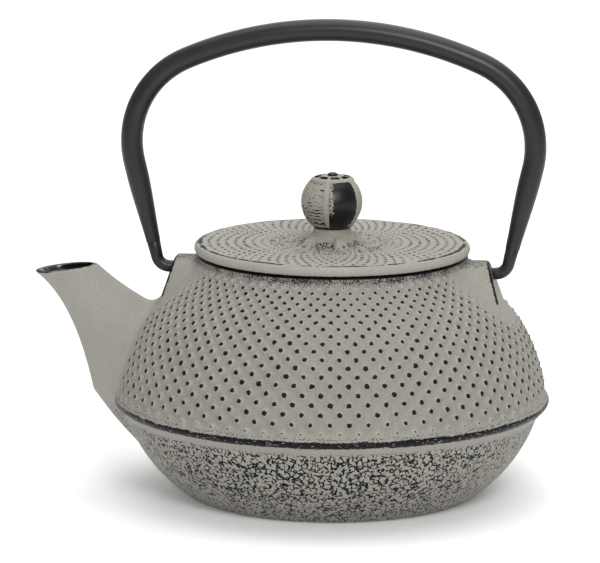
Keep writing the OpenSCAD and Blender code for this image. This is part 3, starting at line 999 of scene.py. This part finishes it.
def make_hook(side, node, coat):
    corner_x = leg_at(PIVOT_Z)[0]
    bend_x = corner_x - BEND_R * math.tan((pi / 2 - LEG_LEAN) / 2)
    path = [(PIN_START_X, PIVOT_Z), (PIN_START_X + 0.3, PIVOT_Z), (bend_x - 0.3, PIVOT_Z)]
    radii = [PIN_R - 0.3, PIN_R, PIN_R]
    bend = arc((bend_x, PIVOT_Z + BEND_R), BEND_R, -pi / 2, -LEG_LEAN, 20)
    path += bend
    radii += [HOOK_R] * len(bend)
    shoulder = leg_at(TUBE_END_Z)
    path += [leg_at(TUBE_END_Z - 0.4), shoulder]
    radii += [TUBE_END_R, TUBE_END_R - 0.25]
    spigot = leg_at(TUBE_END_Z + 7)
    path += [leg_at(TUBE_END_Z + 0.05), spigot]
    radii += [TUBE_END_R - 0.95, TUBE_END_R - 0.95]
    rings = swept(path, radii, 48)
    if side < 0:
        rings = rings * np.array([-1, 1, 1])
        rings = rings[:, ::-1]
    return make_object(node + "_bar", *lofted(rings), coat)


# ---------------------------------------------------------------- the lid and its knob

LID_R = lid_high[1]
LID_TOP = 98.35
LID_LOW = lid_low[2]
SEAT_Z = lid_high[2]
PLATEAU_R = 50.6
SKIRT_R = 43.5
SKIRT_T = 2.3
BOSS_R = 15.5
RIVET_HOLE_R = 1.75
PETALS = 6
PETAL_TURN = radians(-9.7)


def make_lid(grey, enamel):
    under_z, rim_low = 96.2, RIM_Z + 0.15
    top = [(r, LID_TOP) for r in np.arange(BOSS_R, PLATEAU_R, LID_RING_GAP / 5)] + [(PLATEAU_R, LID_TOP)]
    boss = [(RIVET_HOLE_R, SEAT_Z), (4, SEAT_Z), (6.6, SEAT_Z), (7.1, SEAT_Z - 0.25), (7.3, SEAT_Z - 0.8)]
    slope = [(7.3, SEAT_Z - 0.8), (7.6, SEAT_Z - 3.2), (11, LID_TOP + 2.0), (BOSS_R, LID_TOP)]
    boss += curve(slope, 22)[1:-1]
    edge = [(PLATEAU_R + 0.35, LID_TOP - 0.1), (PLATEAU_R + 0.6, LID_TOP - 0.45)]
    nose_c, nose_r = (LID_R - 2.05, rim_low + 2.05), 2.05
    nose = arc(nose_c, nose_r, radians(78), radians(-80), 16)
    skirt_in = SKIRT_R - SKIRT_T
    under = [(LEDGE_R - 0.4, rim_low), (LEDGE_R - 0.6, rim_low + 1), (SKIRT_R, rim_low + 1),
             (SKIRT_R, LID_LOW + 0.4), (SKIRT_R - 0.4, LID_LOW), (skirt_in + 0.4, LID_LOW),
             (skirt_in, LID_LOW + 0.4), (skirt_in, under_z - 0.7), (skirt_in - 3, under_z),
             (RIVET_HOLE_R, under_z)]
    outline = (boss + top + edge + nose + under)[::-1]
    lid = make_object("lid_casting", *turned_closed(outline, LID_DOTS * 8), grey, enamel)
    mesh = lid.data
    co = coordinates(mesh)
    x, y, z = co.T
    radius, theta = np.hypot(x, y), np.arctan2(y, x)
    on_top = z > rim_low + 1.6

    ring = (LID_FIRST_RING - radius) / LID_RING_GAP
    around, width = theta / TURN * LID_DOTS, TURN * radius / LID_DOTS
    away = from_dot(around, width, ring, 2 * LID_RING_GAP)
    dotted = smooth_step(radius, BOSS_R, BOSS_R + 5) * smooth_step(radius, 49.5, 48.3)
    strength = np.where(on_top, dotted, 0)
    rise = 0.5 * (0.5 + 0.5 * np.cos(pi * np.clip(away / 1.45, 0, 1))) * strength
    sunk = -0.35 * smooth_step(radius, PLATEAU_R, PLATEAU_R - 1.6)
    dish = np.where(on_top & (radius < PLATEAU_R), sunk, 0)

    petal = smooth_step(np.cos(PETALS * (theta - PETAL_TURN)), 0.05, 0.85)
    ringed = smooth_step(radius, 8.0, 10.5) * smooth_step(radius, BOSS_R + 2.0, 12.5)
    lobes = np.where(on_top, ringed * (2.1 * petal - 0.8), 0)
    z += rise + dish + lobes + np.where(on_top, lumps(co, 9.0, 2) * 0.12, 0)
    set_coordinates(mesh, co)
    set_attribute(mesh, "tips", strength * (0.55 + 0.6 * smooth_step(radius, 24, 36)))
    set_attribute(mesh, "hollow", np.where(on_top, ringed * (1 - petal), 0))
    below = np.array([p.center[2] / MM < rim_low + 1.05 and math.hypot(*p.center[:2]) / MM < LEDGE_R + 1
                      for p in mesh.polygons])
    mesh.polygons.foreach_set("material_index", below.astype(np.int32))
    finish_piece(lid, "lid", "grey_iron", "lid", sharp=60)


PANELS = 5
PANEL_TURN = -0.15
BLACK_PANEL = 4
CAP_SLOTS = 8
SLOT_TURN = -1 / 3
SLOT_RING_R = 5.7
CAP_POLAR = 41


def make_knob(grey):
    """A ball with sunk panels between upright strips, a raised cap with slots, and a bored middle."""
    low = knob_low[2]
    brow = radians(90 - CAP_POLAR)
    cap_r, cap_z = KNOB_R * cos(brow), KNOB_C + KNOB_R * sin(brow)
    angles = np.linspace(asin((low - KNOB_C) / KNOB_R), brow, 110)
    profile = [(RIVET_HOLE_R, low), (3, low), (5, low)]
    profile += [(KNOB_R * cos(a), KNOB_C + KNOB_R * sin(a)) for a in angles]
    edge = [(cap_r - 0.04, cap_z + 0.04), (cap_r - 0.14, cap_z + 0.14), (cap_r - 0.3, cap_z + 0.22)]
    cap = [edge[-1], (cap_r - 2.6, cap_z + 1.35), (RIVET_HOLE_R, cap_z + 0.95)]
    profile += curve(edge, 4) + curve(cap, 48)[1:]
    knob = make_object("knob_ball", *turned_closed(profile, 320), grey)
    mesh = knob.data
    co = coordinates(mesh)
    x, y, z = co.T
    radius = np.hypot(x, y)
    theta = np.arctan2(y, x) / TURN
    polar = np.degrees(np.arctan2(radius, z - KNOB_C))
    on_ball = (radius > 5.05) | (z > KNOB_C)

    cell = theta * PANELS + PANEL_TURN
    across = np.abs(cell - np.round(cell))
    index = np.mod(np.round(cell), PANELS)
    sunk = smooth_step(across, 0.435, 0.415) * smooth_step(polar, 43, 45) * smooth_step(polar, 140, 136)
    on_cap = z > cap_z + 0.23
    slot_cell = theta * CAP_SLOTS + SLOT_TURN
    slot_across = np.abs(slot_cell - np.round(slot_cell))
    from_ring = np.abs(radius - SLOT_RING_R)
    slots = smooth_step(slot_across, 0.37, 0.34) * smooth_step(from_ring, 1.1, 0.9) * on_cap
    slot_walls = smooth_step(slot_across, 0.40, 0.37) * smooth_step(from_ring, 1.35, 1.15) * on_cap
    ball = np.stack([x, y, z - KNOB_C], 1)
    away = ball / np.linalg.norm(ball, axis=1)[:, None]
    move = np.where(on_ball, -0.6 * sunk, 0) * smooth_step(z, low + 0.02, low + 0.5)
    co += away * (move + lumps(co, 3.0, 4) * 0.05 * sunk)[:, None]
    z -= 1.3 * slots
    set_coordinates(mesh, co)
    black = (index == BLACK_PANEL).astype(float)
    flecked = 1.5 - 0.9 * smooth_step(cell - np.round(cell), -0.08, -0.34) * smooth_step(polar, 140, 100)
    flecked -= 0.8 * smooth_step(cell - np.round(cell), 0.25, 0.40)
    set_attribute(mesh, "bare", np.maximum(sunk * black * flecked, slot_walls * 1.6))
    set_attribute(mesh, "hatch", sunk * (1 - black))
    finish_piece(knob, "lid", "grey_iron", "knob", sharp=60)


def make_rivet(coat):
    low, high = rivet_low[2], rivet_high[2]
    foot_h, seat = 1.6, knob_high[2]
    profile = [(0, low), (2.8, low), (3.2, low + 0.4), (3.2, low + foot_h), (1.6, low + foot_h)]
    profile += [(1.6, seat), (2.0, seat)]
    profile += curve([(2.0, seat + 0.15), (1.8, high), (0, high)], 8)
    rivet = make_object("rivet", *turned(profile, 64), coat)
    finish_piece(rivet, "lid", "black_steel", "knob_rivet")


# ---------------------------------------------------------------- the infuser

HOLE = 0.27
SHEET_INSET = 0.42


def perforated(name, columns, rows, wrap, place, material):
    """A sheet of cells with a round hole in each. place(u, v, side) gives a point of either face."""
    points, faces, seen = [], [], {}

    def at(u, v, side):
        key = (round((u % columns if wrap else u) * 64), round(v * 64), side)
        if key not in seen:
            seen[key] = len(points)
            points.append(place(u, v, side))
        return seen[key]

    rim = [(cos(k * TURN / 8), sin(k * TURN / 8)) for k in range(8)]
    square = [(0.5, 0), (0.5, 0.5), (0, 0.5), (-0.5, 0.5), (-0.5, 0), (-0.5, -0.5), (0, -0.5), (0.5, -0.5)]
    for i in range(columns):
        for j in range(rows):
            u, v = i + 0.5, j + 0.5
            outer = [[at(u + x, v + y, side) for x, y in square] for side in (0, 1)]
            inner = [[at(u + HOLE * x, v + HOLE * y, side) for x, y in rim] for side in (0, 1)]
            for k in range(8):
                l = (k + 1) % 8
                faces.append((outer[0][k], outer[0][l], inner[0][l], inner[0][k]))
                faces.append((inner[1][k], inner[1][l], outer[1][l], outer[1][k]))
                faces.append((inner[0][k], inner[0][l], inner[1][l], inner[1][k]))
    border = []
    for i in range(columns):
        for v, flip in ((0, False), (rows, True)):
            for a, b in ((i, i + 0.5), (i + 0.5, i + 1)):
                border.append((a, v, b, v, flip))
    if not wrap:
        for j in range(rows):
            for u, flip in ((0, True), (columns, False)):
                for a, b in ((j, j + 0.5), (j + 0.5, j + 1)):
                    border.append((u, a, u, b, flip))
    for u0, v0, u1, v1, flip in border:
        face = (at(u0, v0, 0), at(u0, v0, 1), at(u1, v1, 1), at(u1, v1, 0))
        faces.append(face[::-1] if flip else face)
    return make_object(name, points, faces, material)


def make_infuser(sheet, mesh_steel):
    outer_r = wall_high[1]
    low, high = wall_low[2], wall_high[2]
    columns = 138
    rows = round((high - low) / (TURN * outer_r / columns))

    def on_wall(u, v, side):
        a = u / columns * TURN
        r = outer_r - 0.12 - (SHEET_INSET if side else 0)
        return r * cos(a), r * sin(a), low + (high - low) * v / rows

    wall = perforated("basket_wall", columns, rows, True, on_wall, mesh_steel)
    finish_piece(wall, "infuser", "mesh", "infuser_mesh_wall", sharp=40)

    base_high = box_mm("infuser_base_mesh")[1]
    cells = 42

    def on_base(u, v, side):
        x, y = 2 * u / cells - 1, 2 * v / cells - 1
        r = base_high[1] - 0.1
        z = base_high[2] - 0.1 - (SHEET_INSET if side else 0)
        return r * x * math.sqrt(1 - y * y / 2), r * y * math.sqrt(1 - x * x / 2), z

    base = perforated("basket_base", cells, cells, False, on_base, mesh_steel)
    finish_piece(base, "infuser", "mesh", "infuser_base_mesh", sharp=40)

    top, inside, outside, t = collar_high[2], 44.0, collar_high[1], 0.6
    step, sleeve = 86.0, collar_low[2]
    profile = curve([(inside, top - 0.9), (inside, top), (inside + 0.9, top)], 5)
    profile += curve([(outside - 0.3, top), (outside, top), (outside, top - 0.3)], 3)
    profile += [(outside, top - t), (inside + t + 0.9, top - t), (inside + t, top - t - 0.9),
                (inside + t, step), (outer_r + t, step - 2.4), (outer_r + t, sleeve + 0.2),
                (outer_r + t - 0.2, sleeve), (outer_r, sleeve), (outer_r, step - 2), (inside, step + 0.4)]
    collar = make_object("basket_collar", *turned_closed(profile, 144), sheet)
    finish_piece(collar, "infuser", "stainless", "infuser_collar")

    lip, band_r = band_high[1] - 0.6 - 3.3, band_high[1]
    b_low, b_high = band_low[2], band_high[2]
    profile = [(lip, b_low + 0.15), (lip + 0.15, b_low)]
    profile += curve([(band_r - 1.2, b_low), (band_r, b_low), (band_r, b_low + 1.2)], 6)
    profile += [(band_r, b_high - 0.2), (band_r - 0.2, b_high), (band_r - 0.6, b_high)]
    profile += [(band_r - 0.6, b_low + 0.6), (lip, b_low + 0.6)]
    band = make_object("basket_band", *turned_closed(profile[::-1], 144), sheet)
    finish_piece(band, "infuser", "stainless", "infuser_base_band")

    seam_low, seam_high = box_mm("infuser_seam")
    rings = []
    for z in np.linspace(seam_low[2], seam_high[2], 20):
        ring = []
        for x, lift in ((-2.5, 0.02), (-2.2, 0.4), (2.2, 0.4), (2.5, 0.02), (2.2, 0.0), (-2.2, 0.0)):
            a = pi / 2 - x / outer_r
            ring.append(((outer_r + lift) * cos(a), (outer_r + lift) * sin(a), z))
        rings.append(ring)
    seam = make_object("basket_seam", *lofted(rings), sheet)
    finish_piece(seam, "infuser", "stainless", "infuser_seam")


# ---------------------------------------------------------------- everything

make_camera()
make_studio()

enamel = enamel_paint()
coat = black_coat_paint()
sheet = steel_paint("stainless_sheet", 0.24, (1, 1, 9))
mesh_steel = steel_paint("stainless_mesh", 0.30, (1, 1, 1))

make_pot(pot_paint(), enamel)
make_handle(coat)
make_lid(lid_paint(), enamel)
make_knob(knob_paint())
make_rivet(coat)
make_infuser(sheet, mesh_steel)

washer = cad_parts["knob_washer"]
washer.data.materials.clear()
washer.data.materials.append(sheet)
